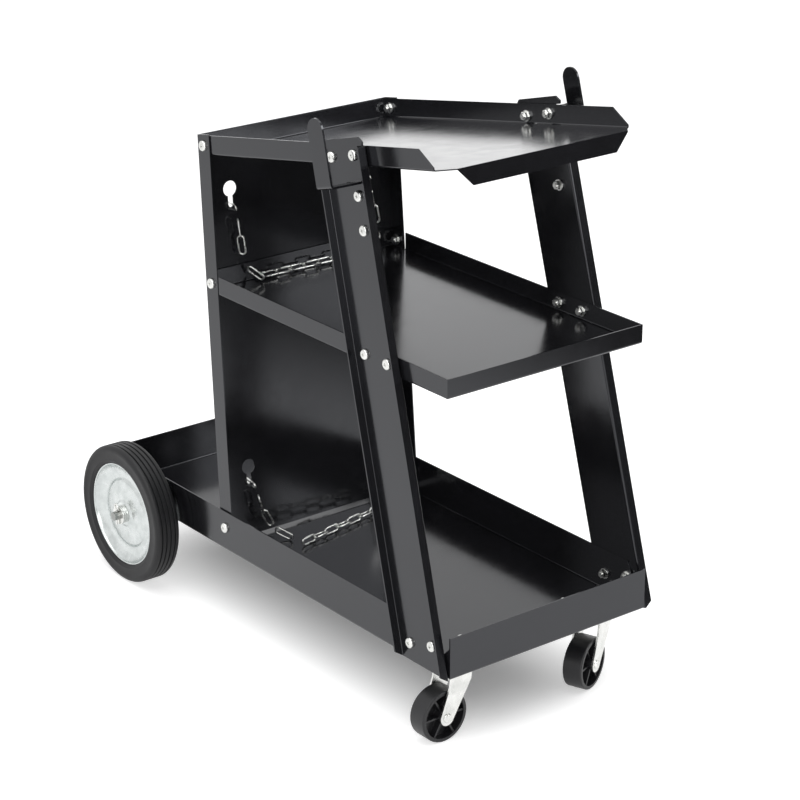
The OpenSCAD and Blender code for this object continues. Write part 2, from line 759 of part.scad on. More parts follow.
// Wheel bolt of the caster with a thin round head and a riveted end
module caster_axle(s) {
    half = fork_half + fork_t;
    color(zinc) on_swivel(s) translate([-caster_trail, 0, pivot_z]) rotate([90, 0, 0]) {
        cylinder(d = pivot_d, h = 2*half, center = true);
        translate([0, 0, half]) cylinder(d1 = pivot_d + 4, d2 = pivot_d + 2, h = 2);
        translate([0, 0, -half - 1.5]) cylinder(d = pivot_d + 3, h = 1.5);
    }
}

module caster_axle_right() { caster_axle(-1); }
module caster_axle_left() { caster_axle(1); }

// Moulded wheel: a tread ring, a web, a hub and spokes that stand out from the web
module caster_wheel(s) {
    r = caster_d/2;
    rim_in = r - 5;
    hub_r = pivot_d/2 + 4.5;
    web = 4;
    color(plastic) on_swivel(s) translate([-caster_trail, 0, pivot_z]) rotate([90, 0, 0]) difference() {
        union() {
            rotate_extrude() {
                translate([rim_in, -caster_w/2 + 2]) square([r - rim_in, caster_w - 4]);
                translate([rim_in, -caster_w/2]) square([r - rim_in - 2, caster_w]);
                for (e = [-1, 1]) translate([r - 2, e*(caster_w/2 - 2)]) circle(2);
            }
            cylinder(r = rim_in + 1, h = web, center = true);
            cylinder(r = hub_r, h = caster_w, center = true);
            for (k = [0:spoke_n - 1]) rotate([0, 0, k*360/spoke_n])
                translate([hub_r - 1, -1.25, -caster_w/2 + 2]) cube([rim_in - hub_r + 2, 2.5, caster_w - 4]);
        }
        cylinder(r = pivot_d/2 + run_fit, h = 2*caster_w, center = true);
    }
}

module caster_wheel_right() { caster_wheel(-1); }
module caster_wheel_left() { caster_wheel(1); }

// Bolt along +Z with a domed head above its seat at z = 0 and its shank below
module bolt(grip) {
    dome = (head_d*head_d/4 + head_h*head_h)/(2*head_h);
    intersection() {
        cylinder(d = head_d, h = head_h);
        translate([0, 0, head_h - dome]) sphere(dome);
    }
    translate([0, 0, -grip]) cylinder(d = bolt_d, h = grip);
}

// Washer and nut whose seat is z = 0, standing towards +Z
module nut() {
    difference() {
        union() {
            cylinder(d = nut_washer_d, h = nut_washer_t);
            translate([0, 0, nut_washer_t]) cylinder(d = nut_af/cos(30), h = nut_h, $fn = 6);
        }
        cylinder(d = bolt_d, h = 60, center = true);
    }
}

// Each fastener of one side: its place, its outer seat and its inner seat
function leg_seats() = concat(
    [for (p = top_pair) [p[0], p[1], leg_y(p[1]) + head_seat + hook_t, top_w/2 - sheet_t]],
    [for (p = spare_pair) [p[0], p[1], leg_y(p[1]) + head_seat, leg_y(p[1]) - seat_gap]],
    [for (p = mid_pair) [p[0], p[1], leg_y(p[1]) + head_seat, mid_w/2 - sheet_t]],
    [for (p = tray_pair) [p[0], p[1], leg_y(p[1]) + head_seat, tray_w/2 - sheet_t]]);

function tie_seats() = [
    [top_tie.x, top_tie.z, panel_y(top_tie.z) + seat_gap, top_w/2 - sheet_t],
    [mid_tie.x, mid_tie.z, panel_y(mid_tie.z) + seat_gap, tab_w/2 - sheet_t],
    [tray_tie.x, tray_tie.z, tray_w/2, panel_y(tray_tie.z) - sheet_t - seat_gap]];

bolt_past = nut_washer_t + nut_h + 1.5;

module side_bolts(seats) {
    for (q = seats) translate([q[0], q[2], q[1]]) rotate([-90, 0, 0]) bolt(q[2] - q[3] + bolt_past);
}

module side_nuts(seats) {
    for (q = seats) translate([q[0], q[3], q[1]]) rotate([90, 0, 0]) nut();
}

module leg_bolts_right() { color(zinc) on_side(-1) side_bolts(leg_seats()); }
module leg_bolts_left() { color(zinc) on_side(1) side_bolts(leg_seats()); }
module leg_nuts_right() { color(zinc) on_side(-1) side_nuts(leg_seats()); }
module leg_nuts_left() { color(zinc) on_side(1) side_nuts(leg_seats()); }
module panel_bolts() { color(zinc) for (s = [-1, 1]) on_side(s) side_bolts(tie_seats()); }
module panel_nuts() { color(zinc) for (s = [-1, 1]) on_side(s) side_nuts(tie_seats()); }

// Bolts up through a part under the tray, with their nuts on the tray's floor
module floor_bolts(under) {
    translate([0, 0, -under]) rotate([180, 0, 0]) bolt(under + sheet_t + bolt_past);
}

module floor_nuts() {
    translate([0, 0, sheet_t]) nut();
}

module caster_bolts() { color(zinc) caster_hole_places() floor_bolts(fork_t); }
module caster_nuts() { color(zinc) caster_hole_places() floor_nuts(); }
module saddle_bolts() { color(zinc) saddle_hole_places() floor_bolts(saddle_t); }
module saddle_nuts() { color(zinc) saddle_hole_places() floor_nuts(); }

// A long link standing along Z in the XZ plane
module link() {
    r = (link_w - wire_d)/2;
    half = link_p/2 + wire_d/2 - r;
    for (s = [-1, 1]) {
        translate([s*r, 0, 0]) cylinder(d = wire_d, h = 2*half, center = true, $fn = 16);
        translate([0, 0, s*half]) rotate([s*90, 0, 0])
            rotate_extrude(angle = 180, $fn = 32) translate([r, 0]) circle(d = wire_d, $fn = 16);
    }
}

function unit(v) = v/norm(v);

// The next place on the route, from leg k and the share t of it, one step away from p
function place(route, k, t) = route[k] + (route[k + 1] - route[k])*t;
function step(route, p, k, t) =
    k >= len(route) - 1 ? undef :
    norm(place(route, k, t) - p) >= link_s ? [place(route, k, t), k, t] :
    t >= 1 ? step(route, p, k + 1, 0) : step(route, p, k, t + 0.2/norm(route[k + 1] - route[k]));
function walk(route, p, k, t, left) =
    let (n = left > 0 ? step(route, p, k, t) : undef)
    n == undef ? [p] : concat([p], walk(route, n[0], n[1], n[2], left - 1));
function joints(route, count) = walk(route, route[0], 0, 0, count);

// The side direction is carried along the joints without twist
function carried(js, k, side) =
    k >= len(js) - 1 ? [] :
    let (d = unit(js[k + 1] - js[k]), x = unit(side - d*(side*d)))
    concat([x], carried(js, k + 1, x));

// Links between the joints: each is turned a quarter from the last, and the run twists up to an eighth
module run(js, side, first, twist) {
    xs = carried(js, 0, side);
    for (k = [0:len(js) - 2]) {
        d = unit(js[k + 1] - js[k]);
        y = cross(d, xs[k]);
        o = (js[k] + js[k + 1])/2;
        multmatrix([[xs[k].x, y.x, d.x, o.x], [xs[k].y, y.y, d.y, o.y], [xs[k].z, y.z, d.z, o.z]])
            rotate([0, 0, first + 90*k + min(twist*(k + 1), 45)]) link();
    }
}

// Turn of each link so that n of them, hung in an even curve, span the distance
function span_of(n, a) = link_s*sin(n*a/2)/sin(a/2);
function turn_for(n, span, low, high, left) =
    let (mid = (low + high)/2)
    left == 0 ? mid : span_of(n, mid) > span ? turn_for(n, span, mid, high, left - 1)
        : turn_for(n, span, low, mid, left - 1);
function hang(k, n, turn) = link_s*[0, cos(turn*(k - (n - 1)/2)), sin(turn*(k - (n - 1)/2))];
function hung(from, n, turn) = [for (k = 0, p = from; k <= n; p = p + hang(k, n, turn), k = k + 1) p];

// One chain: out of the right keyhole in front, across behind the panel, and out of the left one
module chain(hole_up, near, near_n, far, far_n) {
    up = hole_up - key_link;
    half = link_s/2;
    mid = sheet_t/2;
    right_in = on_panel([mid - half, -key_y, up]);
    right_out = on_panel([mid + half, -key_y, up]);
    left_in = on_panel([mid - half, key_y, up]);
    left_out = on_panel([mid + half, key_y, up]);
    turn = turn_for(slack_links, key_span, 0.1, 25, 40);
    color(zinc) {
        run([right_in, right_out], [0, 0, 1], 0, 0);
        run([left_in, left_out], [0, 0, 1], 0, 0);
        run(hung(right_in, slack_links, turn), [1, 0, 0], 0, 0);
        run(joints(concat([right_out], near), near_n), [0, 1, 0], 0, 15);
        run(joints(concat([left_out], far), far_n), [0, 1, 0], 0, 15);
    }
}

module chain_upper() { chain(key_high, high_near, 6, high_far, 14); }
module chain_lower() { chain(key_low, low_near, 5, low_far, 12); }

base_tray();
middle_shelf();
top_shelf();
back_panel();
leg_right();
leg_left();
cable_hook_right();
cable_hook_left();
rear_axle();
axle_saddle_right();
axle_saddle_left();
axle_washers();
split_pins();
tyre_right();
tyre_left();
rim_right();
rim_left();
hub_tube_right();
hub_tube_left();
hub_bush_right();
hub_bush_left();
caster_plate_right();
caster_plate_left();
king_pin_right();
king_pin_left();
ball_race_right();
ball_race_left();
caster_fork_right();
caster_fork_left();
caster_axle_right();
caster_axle_left();
caster_wheel_right();
caster_wheel_left();
leg_bolts_right();
leg_bolts_left();
leg_nuts_right();
leg_nuts_left();
panel_bolts();
panel_nuts();
caster_bolts();
caster_nuts();
saddle_bolts();
saddle_nuts();
chain_upper();
chain_lower();
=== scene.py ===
import json
from math import cos, hypot, pi, radians, sin

import bmesh
import bpy
import numpy as np
from mathutils import Euler, Matrix, Vector

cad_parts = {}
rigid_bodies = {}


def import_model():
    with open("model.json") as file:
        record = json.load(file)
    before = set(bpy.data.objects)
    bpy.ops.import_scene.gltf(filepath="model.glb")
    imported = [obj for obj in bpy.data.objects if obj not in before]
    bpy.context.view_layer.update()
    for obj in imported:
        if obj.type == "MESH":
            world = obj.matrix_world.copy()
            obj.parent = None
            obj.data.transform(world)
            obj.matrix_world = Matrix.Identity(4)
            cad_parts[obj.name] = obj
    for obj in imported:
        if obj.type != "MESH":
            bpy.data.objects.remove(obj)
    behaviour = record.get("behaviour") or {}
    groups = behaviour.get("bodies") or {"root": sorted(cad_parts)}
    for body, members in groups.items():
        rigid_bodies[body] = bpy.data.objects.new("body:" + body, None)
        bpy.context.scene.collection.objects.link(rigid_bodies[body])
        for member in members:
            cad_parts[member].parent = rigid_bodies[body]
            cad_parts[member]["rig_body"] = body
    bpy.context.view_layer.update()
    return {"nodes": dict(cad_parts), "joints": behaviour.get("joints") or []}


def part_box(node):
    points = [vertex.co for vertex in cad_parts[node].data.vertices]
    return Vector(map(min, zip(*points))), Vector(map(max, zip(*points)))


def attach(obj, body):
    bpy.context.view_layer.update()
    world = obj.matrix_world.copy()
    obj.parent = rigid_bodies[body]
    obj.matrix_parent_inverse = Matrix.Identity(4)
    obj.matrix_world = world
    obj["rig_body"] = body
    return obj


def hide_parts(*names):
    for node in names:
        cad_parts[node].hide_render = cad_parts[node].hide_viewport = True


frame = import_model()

NODES = frame["nodes"]
JOINTS = {joint["name"]: joint for joint in frame["joints"]}
SIDES = ("right", "left")
MM = 0.001


def turned_size(node):
    """The radius and the width of a node that is turned round the Y axis."""
    low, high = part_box(node)
    return (high.z - low.z) / 2, high.y - low.y


TYRE_R, TYRE_W = turned_size("tyre_right")
RIM_R, RIM_W = turned_size("rim_right")
# Sizes of the fasteners and of a chain's link, as part.scad gives them, in metres
BOLT_R, HEAD_R, HEAD_H, NUT_AF, NUT_H = 0.003, 0.00675, 0.004, 0.010, 0.005
WASHER_R, WASHER_T = 0.007, 0.0014
WIRE, LINK_P, LINK_W = 0.0026, 0.022, 0.011

# Where the photograph was taken from, the way the camera looks, and its film width and lens in millimetres
CAMERA_PLACE, CAMERA_LOOK = (2.4181, -1.8279, 1.4928), (-0.7327, 0.5735, -0.3663)
FILM_WIDTH, LENS = 36.0, 114.7


def set_camera():
    """The camera stands where the photograph was taken from."""
    data = bpy.data.cameras.new("photo_camera")
    data.sensor_width = FILM_WIDTH
    data.lens = LENS
    data.clip_end = 50.0
    camera = bpy.data.objects.new("photo_camera", data)
    bpy.context.scene.collection.objects.link(camera)
    camera.location = CAMERA_PLACE
    camera.rotation_euler = Vector(CAMERA_LOOK).to_track_quat("-Z", "Y").to_euler()
    bpy.context.scene.camera = camera


set_camera()


def linear(code):
    """An sRGB hex colour as the linear colour that the shaders want."""
    parts = [int(code[i:i + 2], 16) / 255 for i in (1, 3, 5)]
    return tuple(p / 12.92 if p <= 0.04045 else ((p + 0.055) / 1.055) ** 2.4 for p in parts) + (1.0,)


def add(tree, kind, links=None, values=None, stops=(), **settings):
    """Adds one node, sets its settings, values and colour stops, and links sockets into it."""
    made = tree.nodes.new(kind)
    for key, value in settings.items():
        setattr(made, key, value)
    for key, value in (values or {}).items():
        made.inputs[key].default_value = value
    for k, (position, colour) in enumerate(stops):
        made.color_ramp.elements[k].position = position
        made.color_ramp.elements[k].color = colour
    for key, socket in (links or {}).items():
        tree.links.new(socket, made.inputs[key])
    return made


def per_metre(size_mm):
    """The scale of a pattern whose cells are this many millimetres across."""
    return 1 / (size_mm * MM)


def new_material(name):
    """A material with an empty tree, and the place on the piece that its patterns read."""
    finish = bpy.data.materials.new(name)
    finish.use_nodes = True
    tree = finish.node_tree
    tree.nodes.clear()
    return finish, tree, add(tree, "ShaderNodeTexCoord").outputs["Object"]


def surface(tree, colour, gloss, bump, values=None):
    """Ends a material: its shader with a colour, a roughness and a bump, and its output."""
    shader = add(tree, "ShaderNodeBsdfPrincipled",
                 {"Base Color": colour.outputs[0], "Roughness": gloss.outputs[0], "Normal": bump.outputs[0]},
                 values)
    add(tree, "ShaderNodeOutputMaterial", {"Surface": shader.outputs[0]})


def powder_coat():
    """Gloss black powder coat on folded sheet: a deep black with a clear, faintly blue mirror in it, a slight
    orange peel and a thin film of handling marks."""
    finish, tree, place = new_material("gloss_black_powder_coat")
    # The peel is 4 mm from crest to crest. A slow waviness of the sheet, a third of a metre long, bends the
    # mirror.
    peel = add(tree, "ShaderNodeTexNoise", {"Vector": place}, {"Scale": per_metre(4), "Detail": 1.0})
    sheet = add(tree, "ShaderNodeTexNoise", {"Vector": place}, {"Scale": per_metre(333.3), "Detail": 0.0})
    marks = add(tree, "ShaderNodeTexNoise", {"Vector": place},
                {"Scale": per_metre(29.41), "Detail": 6.0, "Roughness": 0.7})
    colour = add(tree, "ShaderNodeValToRGB", {"Fac": marks.outputs["Fac"]},
                 stops=[(0.35, linear("#131315")), (0.75, linear("#19191c"))])
    gloss = add(tree, "ShaderNodeMapRange", {"Value": marks.outputs["Fac"]},
                {"From Min": 0.3, "From Max": 0.75, "To Min": 0.13, "To Max": 0.19})
    wave = add(tree, "ShaderNodeBump", {"Height": sheet.outputs["Fac"]},
               {"Strength": 0.1, "Distance": 1.0 * MM})
    bump = add(tree, "ShaderNodeBump", {"Height": peel.outputs["Fac"], "Normal": wave.outputs[0]},
               {"Strength": 0.04, "Distance": 0.3 * MM})
    surface(tree, colour, gloss, bump, {"IOR": 1.6, "Specular Tint": (0.92, 0.94, 1.0, 1.0)})
    return finish


def zinc_plate(name, dark, light, smooth, rough):
    """Bright zinc plate on pressed steel: a pale, slightly warm metal with cloudy passivation and fine
    rolling lines."""
    finish, tree, place = new_material(name)
    cloud = add(tree, "ShaderNodeTexNoise", {"Vector": place},
                {"Scale": per_metre(16.67), "Detail": 5.0, "Roughness": 0.6})
    stretched = add(tree, "ShaderNodeMapping", {"Vector": place}, {"Scale": (1.0, 1.0, 12.0)})
    # The rolling lines are 1.2 mm apart, coarser than the real ones so that they show, and 14.3 mm long
    lines = add(tree, "ShaderNodeTexNoise", {"Vector": stretched.outputs[0]},
                {"Scale": per_metre(14.29), "Detail": 3.0})
    colour = add(tree, "ShaderNodeValToRGB", {"Fac": cloud.outputs["Fac"]},
                 stops=[(0.3, linear(dark)), (0.7, linear(light))])
    gloss = add(tree, "ShaderNodeMapRange", {"Value": cloud.outputs["Fac"]},
                {"From Min": 0.3, "From Max": 0.7, "To Min": smooth, "To Max": rough})
    bump = add(tree, "ShaderNodeBump", {"Height": lines.outputs["Fac"]},
               {"Strength": 0.12, "Distance": 0.2 * MM})
    surface(tree, colour, gloss, bump, {"Metallic": 1.0})
    return finish


def moulded(name, dark, light, smooth, rough, grain_mm, depth_mm):
    """Moulded black rubber or plastic: matt, with a fine mould grain and a bloom of paler patches."""
    finish, tree, place = new_material(name)
    grain = add(tree, "ShaderNodeTexNoise", {"Vector": place}, {"Scale": per_metre(grain_mm), "Detail": 2.0})
    bloom = add(tree, "ShaderNodeTexNoise", {"Vector": place},
                {"Scale": per_metre(38.46), "Detail": 4.0, "Roughness": 0.65})
    colour = add(tree, "ShaderNodeValToRGB", {"Fac": bloom.outputs["Fac"]},
                 stops=[(0.3, linear(dark)), (0.75, linear(light))])
    gloss = add(tree, "ShaderNodeMapRange", {"Value": bloom.outputs["Fac"]},
                {"From Min": 0.3, "From Max": 0.75, "To Min": smooth, "To Max": rough})
    bump = add(tree, "ShaderNodeBump", {"Height": grain.outputs["Fac"]},
               {"Strength": 0.3, "Distance": depth_mm * MM})
    surface(tree, colour, gloss, bump)
    return finish


COAT = powder_coat()
ZINC = zinc_plate("bright_zinc_plate", "#d6d7d4", "#f6f6f3", 0.2, 0.34)
DISC_ZINC = zinc_plate("dull_zinc_wheel_disc", "#c2c7c6", "#dfe3e2", 0.22, 0.3)
STEEL = zinc_plate("drawn_steel_bar", "#8e908e", "#b3b4b1", 0.25, 0.36)
RUBBER = moulded("solid_rubber_tyre", "#0d0d10", "#161619", 0.5, 0.64, grain_mm=0.7, depth_mm=0.12)
WHEEL_PLASTIC = moulded("moulded_polypropylene", "#161618", "#202023", 0.34, 0.46,
                        grain_mm=0.9, depth_mm=0.06)
BUSH_PLASTIC = moulded("moulded_nylon_bush", "#2c2c30", "#3a3a3f", 0.35, 0.5, grain_mm=0.9, depth_mm=0.05)


def show(name, mesh, finish, body, nodes):
    """Puts a finished mesh in the scene for the CAD nodes that it stands for."""
    piece = bpy.data.objects.new(name, mesh)
    bpy.context.scene.collection.objects.link(piece)
    mesh.materials.clear()
    mesh.materials.append(finish)
    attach(piece, body)
    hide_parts(*nodes)


def evaluated(piece):
    """The piece's mesh with its modifiers worked in."""
    bpy.context.view_layer.update()
    graph = bpy.context.evaluated_depsgraph_get()
    return bpy.data.meshes.new_from_object(piece.evaluated_get(graph))


def smooth_by_angle(mesh, degrees):
    """Shades a mesh smooth, except at edges sharper than this."""
    mesh.polygons.foreach_set("use_smooth", [True] * len(mesh.polygons))
    mesh.set_sharp_from_angle(angle=radians(degrees))


def merged_copy(node):
    """A joined-up copy of a CAD node's loose triangles."""
    shell = bmesh.new()
    shell.from_mesh(NODES[node].data)
    bmesh.ops.remove_doubles(shell, verts=shell.verts, dist=0.02 * MM)
    return shell


def islands(node):
    """The separate solids of a CAD node, each as an array of its points, in the order of the node's mesh."""
    shell = merged_copy(node)
    left = set(shell.verts)
    found = []
    for first in shell.verts:
        if first not in left:
            continue
        left.remove(first)
        group, front = [], [first]
        while front:
            vert = front.pop()
            group.append(tuple(vert.co))
            for edge in vert.link_edges:
                other = edge.other_vert(vert)
                if other in left:
                    left.remove(other)
                    front.append(other)
        found.append(np.array(group))
    shell.free()
    return found


# The hole of a hook's front bolt reaches this far from its axis. The tongue lies beyond this far to the side.
HOLE_REACH, TONGUE_Y = 3.4 * MM, 180 * MM


def hook_with_whole_tongue(side):
    """A copy of a hook without the bolt hole that runs on through the solid's tongue. The real tongue is
    whole."""
    shell = merged_copy("cable_hook_" + side)
    top_pair = sorted(islands("leg_bolts_" + side), key=lambda points: points[:, 2].mean())[-2:]
    front = max(top_pair, key=lambda points: points[:, 0].mean())
    axis = (front.min(0) + front.max(0)) / 2
    wall = [f for f in shell.faces if all(
        abs(v.co.y) > TONGUE_Y and hypot(v.co.x - axis[0], v.co.z - axis[2]) < HOLE_REACH for v in f.verts)]
    bmesh.ops.delete(shell, geom=wall, context="FACES")
    bmesh.ops.holes_fill(shell, edges=[e for e in shell.edges if e.is_boundary], sides=0)
    bmesh.ops.recalc_face_normals(shell, faces=shell.faces)
    return shell


# An edge sharper than this is a cut edge, in degrees; the rest are folds, rounds and turned faces
EASED_ANGLE = 38
# The same for turned and pressed pieces, and for the six flats of a nut
TURNED_ANGLE, NUT_ANGLE = 40, 20


def eased(node, finish, edge_mm, shell=None):
    """The CAD node again, or a mended copy of it, with its cut edges eased so that they catch the light."""
    if shell is None:
        shell = merged_copy(node)
    bmesh.ops.dissolve_limit(shell, angle_limit=radians(0.5), verts=shell.verts, edges=shell.edges)
    mesh = bpy.data.meshes.new(node + "_eased")
    shell.to_mesh(mesh)
    shell.free()
    smooth_by_angle(mesh, EASED_ANGLE)
    draft = bpy.data.objects.new("draft", mesh)
    bpy.context.scene.collection.objects.link(draft)
    bevel = draft.modifiers.new("edges", "BEVEL")
    bevel.width = edge_mm * MM
    bevel.segments = 2
    bevel.limit_method = "ANGLE"
    bevel.angle_limit = radians(EASED_ANGLE)
    bevel.use_clamp_overlap = True
    flat = draft.modifiers.new("flat_faces", "WEIGHTED_NORMAL")
    flat.weight = 100
    flat.keep_sharp = True
    done = evaluated(draft)
    bpy.data.objects.remove(draft)
    show(node + "_eased", done, finish, NODES[node]["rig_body"], [node])


def outward_mesh(name, points, faces):
    """A mesh with its doubles merged and its faces turned outwards."""
    mesh = bpy.data.meshes.new(name)
    mesh.from_pydata(points, [], faces)
    shell = bmesh.new()
    shell.from_mesh(mesh)
    bmesh.ops.remove_doubles(shell, verts=shell.verts, dist=0.001 * MM)
    bmesh.ops.recalc_face_normals(shell, faces=shell.faces)
    shell.to_mesh(mesh)
    shell.free()
    return mesh


# Facets round a wheel, round a head or washer, and round a shank
WHEEL_STEPS, HEAD_STEPS, SHANK_STEPS = 144, 28, 20


def lathe(profile, centre):
    """Turns a closed outline of (radius, distance along the axle) round the Y axis."""
    count = len(profile)
    turns = np.arange(WHEEL_STEPS) * 2 * pi / WHEEL_STEPS
    ring = np.array(profile)
    x = ring[:, 0][None, :] * np.cos(turns)[:, None]
    z = ring[:, 0][None, :] * np.sin(turns)[:, None]
    y = np.repeat(ring[:, 1][None, :], WHEEL_STEPS, 0)
    points = np.stack([x + centre[0], y + centre[1], z + centre[2]], 2).reshape(-1, 3)
    faces = []
    for s in range(WHEEL_STEPS):
        t = (s + 1) % WHEEL_STEPS
        for k in range(count):
            m = (k + 1) % count
            faces.append((s * count + k, s * count + m, t * count + m, t * count + k))
    return outward_mesh("turned", points.tolist(), faces)


def arc(cx, cy, r, start, end, count):
    """Points of an arc in an outline, from one angle to another in degrees."""
    return [(cx + r * cos(radians(start + (end - start) * k / count)),
             cy + r * sin(radians(start + (end - start) * k / count))) for k in range(count + 1)]


def copies_tree():
    """One geometry tree that puts a copy of a shape at each point of a mesh, turned and stretched by the
    point's attributes."""
    tree = bpy.data.node_groups.new("placed_copies", "GeometryNodeTree")
    tree.interface.new_socket("Points", in_out="INPUT", socket_type="NodeSocketGeometry")
    tree.interface.new_socket("Shape", in_out="INPUT", socket_type="NodeSocketObject")
    tree.interface.new_socket("Size", in_out="INPUT", socket_type="NodeSocketFloat").default_value = 1.0
    tree.interface.new_socket("Finish", in_out="INPUT", socket_type="NodeSocketMaterial")
    tree.interface.new_socket("Copies", in_out="OUTPUT", socket_type="NodeSocketGeometry")
    given = add(tree, "NodeGroupInput")
    shape = add(tree, "GeometryNodeObjectInfo", {"Object": given.outputs["Shape"]})
    turn = add(tree, "GeometryNodeInputNamedAttribute", values={"Name": "turn"}, data_type="FLOAT_VECTOR")
    stretch = add(tree, "GeometryNodeInputNamedAttribute", values={"Name": "stretch"},
                  data_type="FLOAT_VECTOR")
    turned = add(tree, "FunctionNodeEulerToRotation", {"Euler": turn.outputs["Attribute"]})
    sized = add(tree, "ShaderNodeVectorMath",
                {0: stretch.outputs["Attribute"], "Scale": given.outputs["Size"]}, operation="SCALE")
    points = add(tree, "GeometryNodeMeshToPoints", {"Mesh": given.outputs["Points"]})
    placed = add(tree, "GeometryNodeInstanceOnPoints", {
        "Points": points.outputs[0], "Instance": shape.outputs["Geometry"],
        "Rotation": turned.outputs[0], "Scale": sized.outputs[0]})
    real = add(tree, "GeometryNodeRealizeInstances", {"Geometry": placed.outputs[0]})
    faced = add(tree, "GeometryNodeSetMaterial",
                {"Geometry": real.outputs[0], "Material": given.outputs["Finish"]})
    add(tree, "NodeGroupOutput", {"Copies": faced.outputs[0]})
    return tree


COPIES = copies_tree()


def copies(shape_mesh, spots, finish):
    """A plain mesh of the shape at each spot, a spot being (place, turn, stretch)."""
    shape = bpy.data.objects.new("shape", shape_mesh)
    bpy.context.scene.collection.objects.link(shape)
    cloud = bpy.data.meshes.new("spots")
    cloud.from_pydata([tuple(s[0]) for s in spots], [], [])
    for name, k in (("turn", 1), ("stretch", 2)):
        layer = cloud.attributes.new(name, "FLOAT_VECTOR", "POINT")
        layer.data.foreach_set("vector", [v for s in spots for v in s[k]])
    host = bpy.data.objects.new("host", cloud)
    bpy.context.scene.collection.objects.link(host)
    grown = host.modifiers.new("copies", "NODES")
    grown.node_group = COPIES
    names = {s.name: s.identifier for s in COPIES.interface.items_tree if s.in_out == "INPUT"}
    grown[names["Shape"]] = shape
    grown[names["Size"]] = 1.0
    grown[names["Finish"]] = finish
    mesh = evaluated(host)
    bpy.data.objects.remove(host)
    bpy.data.objects.remove(shape)
    return mesh


def joined(name, meshes):
    """Several plain meshes as one."""
    whole = bmesh.new()
    for mesh in meshes:
        whole.from_mesh(mesh)
    mesh = bpy.data.meshes.new(name)
    whole.to_mesh(mesh)
    whole.free()
    return mesh


SHEETS = ("base_tray", "middle_shelf", "top_shelf", "back_panel", "leg_right", "leg_left")
# How far the cut edges of coated sheet are eased, in millimetres
SHEET_EDGE = 0.4
# The plated and moulded pieces of each side, and how far their cut edges are eased, in millimetres
SIDE_PIECES = (("axle_saddle", ZINC, 0.4), ("caster_plate", ZINC, 0.4), ("king_pin", ZINC, 0.4),
               ("ball_race", ZINC, 0.5), ("caster_fork", ZINC, 0.5), ("caster_axle", ZINC, 0.4),
               ("caster_wheel", WHEEL_PLASTIC, 0.6), ("hub_tube", ZINC, 0.3),
               ("hub_bush", BUSH_PLASTIC, 0.15))

for sheet in SHEETS:
    eased(sheet, COAT, SHEET_EDGE)
for side in SIDES:
    eased("cable_hook_" + side, COAT, SHEET_EDGE, hook_with_whole_tongue(side))
for side in SIDES:
    for kind, finish, edge_mm in SIDE_PIECES:
        eased(kind + "_" + side, finish, edge_mm)
eased("rear_axle", STEEL, 0.6)
eased("axle_washers", ZINC, 0.3)
eased("split_pins", ZINC, 0.3)


def tyre_outline():
    """Round shoulders, four tread grooves, and a moulded step and bead line on each wall."""
    half = TYRE_W / 2
    shoulder = 6 * MM
    wide, narrow, deep, lip, pitch = 1.0 * MM, 0.7 * MM, 2.2 * MM, 0.3 * MM, 6.6 * MM
    outline = arc(TYRE_R - shoulder, half - shoulder, shoulder, 90, 0, 8)
    for centre in (1.5 * pitch, 0.5 * pitch, -0.5 * pitch, -1.5 * pitch):
        groove = [(TYRE_R, wide + lip), (TYRE_R - lip, wide), (TYRE_R - deep, narrow)]
        outline += [(r, centre + y) for r, y in groove] + [(r, centre - y) for r, y in groove[::-1]]
    outline += arc(TYRE_R - shoulder, shoulder - half, shoulder, 0, -90, 8)
    wall = [(TYRE_R - 8.5 * MM, half), (TYRE_R - 9 * MM, half - 0.35 * MM),
            (RIM_R + 4.5 * MM, half - 0.35 * MM), (RIM_R + 4 * MM, half - 0.9 * MM),
            (RIM_R + 1.5 * MM, half - 1.6 * MM), (RIM_R, half - 3.2 * MM)]
    return outline + [(r, -y) for r, y in wall] + wall[::-1]


def disc_outline(way):
    """One pressed half of the wheel, facing +Y or, with way -1, -Y: a rolled edge, a hollow cone, a round
    groove, and a raised middle with a nose round the hub. The numbers are millimetres of radius and of height
    over the wheel's middle plane."""
    curl_r = 1.2 * MM
    curl = [(r / MM, y / MM) for r, y in arc(RIM_R - curl_r, RIM_W / 2 - curl_r, curl_r, 0, 180, 6)]
    face = [(67.8, 11.9), (66.4, 9.8), (64.0, 7.7), (60.8, 5.9), (57.4, 4.7), (54.4, 4.1), (52.2, 3.9),
            (49.4, 3.9), (48.0, 4.2), (46.9, 5.0), (45.9, 6.1), (44.7, 6.9), (43.0, 7.3), (36.0, 8.0),
            (28.0, 8.7), (21.5, 9.1), (19.2, 9.3), (17.8, 9.9), (16.8, 10.9), (15.4, 11.5), (13.6, 11.7),
            (12.0, 11.7)]
    back = [(12.0, 9.7), (15.0, 9.5), (17.5, 7.6), (28.0, 6.6), (42.6, 5.2), (45.0, 2.4), (48.0, 1.9),
            (55.0, 2.0), (61.5, 3.6), (65.0, 5.8), (RIM_R / MM, 7.4)]
    return [(r * MM, way * y * MM) for r, y in curl + face + back]


def make_wheel(side):
    """A tyre, and a disc pressed in two halves on a barrel, round the place where the wheel's joint turns."""
    body = "wheel_" + side
    centre = JOINTS["wheel_spin_" + side]["pos_m"]
    tyre = lathe(tyre_outline(), centre)
    smooth_by_angle(tyre, TURNED_ANGLE)
    show("tyre_" + side + "_moulded", tyre, RUBBER, body, ["tyre_" + side])
    halves = [lathe(disc_outline(way), centre) for way in (1, -1)]
    edge, inner = RIM_W / 2 - 1.3 * MM, RIM_R - 2 * MM
    wall = [(RIM_R, edge), (RIM_R, -edge), (inner, -edge), (inner, edge)]
    barrel = lathe(wall, centre)
    disc = joined("disc", halves + [barrel])
    smooth_by_angle(disc, TURNED_ANGLE)
    show("rim_" + side + "_pressed", disc, DISC_ZINC, body, ["rim_" + side])


